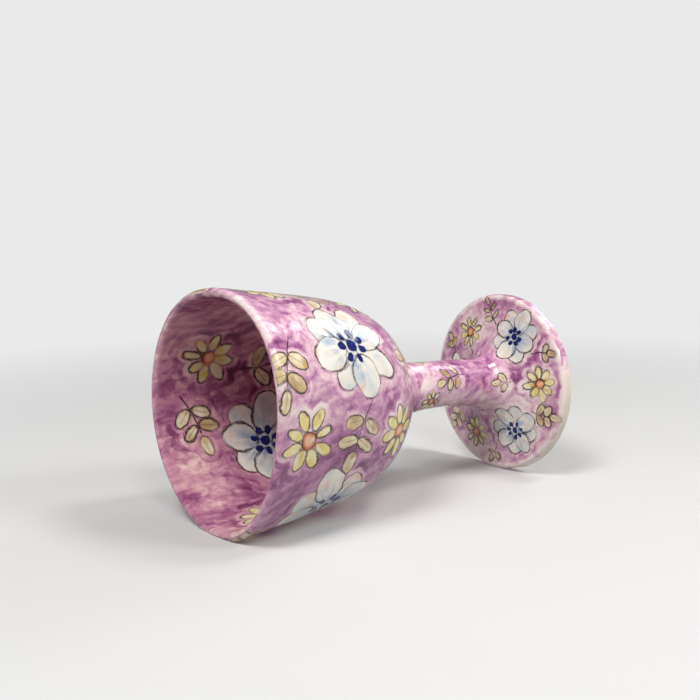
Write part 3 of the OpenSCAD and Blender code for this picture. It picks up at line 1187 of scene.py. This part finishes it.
canvas = Canvas(pieces["bowl_inside_coat"], inside_skin)
canvas.wipe(0, 1.2, depth=0.12)
hand = np.random.default_rng(23)
for third in THIRDS:
    sprig(canvas, hand, 28 + third, 48, 27, turn=20)
    sprig(canvas, hand, 62 + third, 17, 24, turn=-70)
    daisy(canvas, hand, 25 + third, 22, 10)
    daisy(canvas, hand, 130 + third, 66, 9)
    rosette(canvas, hand, 80 + third, 44, 18)
canvas.finish()

# %% Paint the stem and the foot
canvas = Canvas(pieces["stem_coat"], stem_skin)
hand = np.random.default_rng(37)
for third in THIRDS:
    sprig(canvas, hand, 260 + third, 16, 16, turn=15)
    daisy(canvas, hand, 205 + third, 27, 5.5)
canvas.finish()

canvas = Canvas(pieces["foot_coat"], foot_skin)
canvas.wipe(0, edge_h - 1, depth=0.9, middle=205, spread=44)
canvas.wipe(edge_h - shoulder_r / 2, 1.0, depth=0.6)
hand = np.random.default_rng(41)
for third in THIRDS:
    sprig(canvas, hand, 236 + third, 30, 13, turn=0, pairs=1)
    sprig(canvas, hand, 258 + third, 12, 11, turn=150, pairs=1)
    sprig(canvas, hand, 324 + third, 12, 13, turn=200)
    daisy(canvas, hand, 232 + third, 16, 7)
    rosette(canvas, hand, 290 + third, 18.5, 11.5)
canvas.finish()

# %% [markdown]
# ## The table and the camera
#
# The goblet lies on its side in the photograph, and its axis stays upright here. So the table
# is tilted instead: it touches the rim and the edge of the foot on one side. The camera
# stands beside the table, and rolls with it. A table that bounced all its light would flood
# the goblet from below, so four fifths of the bounced light goes through it, and comes from
# the dimmer air instead. From behind, the table lets the view through, because another camera
# may look from there.

# %% The lying frame
LYING_WAY = math.radians(135)
TOUCH_RIM, TOUCH_FOOT = Vector((mouth_r, lip_z - 1.6)), Vector((foot_r, 1.0))
AXIS_YAW, CAMERA_PITCH = math.radians(39.1), math.radians(7.7)
MOUTH_SEEN = Vector((-48.1, -20.7, -342.5)) * MM
LENS, SENSOR = 51.43, 36

towards_table = Vector((math.cos(LYING_WAY), math.sin(LYING_WAY), 0))
table_line = (TOUCH_RIM - TOUCH_FOOT).normalized()
table_up = Vector((0, 0, table_line.x)) - towards_table * table_line.y
table_up.normalize()
table_along = towards_table * table_line.x + Vector((0, 0, table_line.y))
table_side = table_up.cross(table_along)
table_spot = (towards_table * TOUCH_FOOT.x + Vector((0, 0, TOUCH_FOOT.y))) * MM
lying = Matrix([table_along, table_side, table_up]).transposed()
print("the goblet lies at", round(math.degrees(math.asin(table_line.x)), 1), "degrees to the table")


def beside(along, side, up):
    """A place in metres from the goblet's foot: towards the mouth, to the side, above the table."""
    return table_spot + lying @ Vector((along, side, up))


# %% The camera
flat_right = -table_along * math.cos(AXIS_YAW) + table_side * math.sin(AXIS_YAW)
flat_ahead = -table_along * math.sin(AXIS_YAW) - table_side * math.cos(AXIS_YAW)
ahead = flat_ahead * math.cos(CAMERA_PITCH) - table_up * math.sin(CAMERA_PITCH)
upwards = flat_right.cross(ahead)
camera_turn = Matrix([flat_right, upwards, -ahead]).transposed()
camera = placed("camera", bpy.data.cameras.new("camera"))
camera.data.lens, camera.data.sensor_width = LENS, SENSOR
mouth_centre = Vector((0, 0, lip_z * MM))
camera.matrix_world = Matrix.Translation(mouth_centre - camera_turn @ MOUTH_SEEN) @ camera_turn.to_4x4()
bpy.context.scene.camera = camera
print("camera at", [round(v, 3) for v in camera.location])

# %% The table
TABLE_R, TABLE_SIDES = 3.0, 48
FADE_START, FADE_END, BOUNCE_THROUGH = 0.12, 0.55, 0.8
AIR_SEEN, AIR_LIT = paint(234, 234, 235), paint(247, 247, 249)
table_mesh = bpy.data.meshes.new("table")
turns = np.linspace(0, math.tau, TABLE_SIDES, endpoint=False)
corners = [beside(math.cos(a) * TABLE_R, math.sin(a) * TABLE_R, 0) for a in turns]
table_mesh.from_pydata(corners, [], [list(range(TABLE_SIDES))])
table = placed("table", table_mesh)

table_finish, g = new_material("table")
spot = g.add("ShaderNodeTexCoord", out="Object")
cloth = g.noise(spot, 14.0, 2.0, 3.0)
pale = mixed(g, cloth * 0.5, paint(214, 213, 211), paint(209, 208, 207))
matt_look = {"Base Color": pale, "Roughness": 0.7, "Specular IOR Level": 0.2}
matt = g.add("ShaderNodeBsdfPrincipled", (), matt_look)
away = g.vector("LENGTH", spot, out="Value")
rays = g.add("ShaderNodeLightPath").socket.node
seen, bounced = Wire(g, rays.outputs["Is Camera Ray"]), Wire(g, rays.outputs["Is Diffuse Ray"])
air_glow = g.add("ShaderNodeEmission", (), {"Color": AIR_SEEN, "Strength": 1.0})
far_off = away.ramp(FADE_START, FADE_END) * seen
fading = g.add("ShaderNodeMixShader", (), {0: far_off, 1: matt, 2: air_glow})
clear = g.add("ShaderNodeBsdfTransparent")
behind = g.add("ShaderNodeNewGeometry", out="Backfacing")
let_through = behind.most(bounced * BOUNCE_THROUGH)
shown = g.add("ShaderNodeMixShader", (), {0: let_through, 1: fading, 2: clear})
g.add("ShaderNodeOutputMaterial", (), {"Surface": shown})
table_mesh.materials.append(table_finish)
print("the table fades into the air", FADE_START, "to", FADE_END, "m from the goblet's origin")

# %% [markdown]
# ## The lamps and the air
#
# A window does two things to a glaze: it lights it, and it is seen in it. One lamp for both
# would burn a white patch into the gloss or leave the goblet dark. So soft discs light the
# goblet and aren't mirrored, and small bright squares are mirrored and don't light it, as the
# panes of a window. One far panel does both. The air lights the goblet mostly from under the
# table on the foot's side, and to the camera it is plain and pale.

# %% The lamps and the air


def lamp(name, place, aim, size, power, mirrored=True, lights=True):
    data = bpy.data.lights.new(name, "AREA")
    data.shape, data.size, data.energy = ("DISK" if lights else "SQUARE"), size, power
    item = placed(name, data)
    item.location = place
    item.rotation_mode = "QUATERNION"
    item.rotation_quaternion = (aim - place).to_track_quat("-Z", "Y")
    item.visible_glossy, item.visible_diffuse = mirrored, lights


middle = beside(0.075, 0, 0.04)
lamp("overhead", beside(0.78, 0.26, 1.05), middle, 0.5, 10.7, mirrored=False)
lamp("camera side", beside(0.45, 0.85, 1.0), middle, 0.35, 3.4, mirrored=False)
lamp("high window", beside(-0.30, 0.32, 1.01), middle, 0.26, 2.9, mirrored=False)
lamp("low window", beside(-0.28, 0.80, 0.72), middle, 0.30, 3.6, mirrored=False)
lamp("high pane", beside(-0.36, 0.32, 0.99), middle, 0.26, 14.0, lights=False)
lamp("low pane", beside(-0.28, 0.80, 0.72), middle, 0.25, 12.0, lights=False)
lamp("far panel", beside(-0.95, -0.12, 0.78), middle, 0.45, 2.0)

world = bpy.data.worlds.new("pale room")
bpy.context.scene.world = world
g = blank_graph(world)
rays = g.add("ShaderNodeLightPath").socket.node
seen = Wire(g, rays.outputs["Is Camera Ray"])
way = g.add("ShaderNodeTexCoord", out="Generated")
under_foot = (-table_up - table_along * 0.6).normalized()
low = g.vector("DOT_PRODUCT", way, under_foot, out="Value")
strength = low.ramp(-0.1, 0.6) * 0.42 + 0.15
lit = g.add("ShaderNodeBackground", (), {"Color": AIR_LIT, "Strength": strength})
air = g.add("ShaderNodeBackground", (), {"Color": AIR_SEEN, "Strength": 1.0})
around = g.add("ShaderNodeMixShader", (), {0: seen, 1: lit, 2: air})
g.add("ShaderNodeOutputWorld", (), {"Surface": around})
bpy.context.scene.view_settings.view_transform = "Standard"
print("lamps:", ", ".join(item.name for item in bpy.data.lights))

# %% [markdown]
# ## The goblet's space
#
# The painted goblet has to stay in the space of its solids, apart from the small waves of the
# hand.
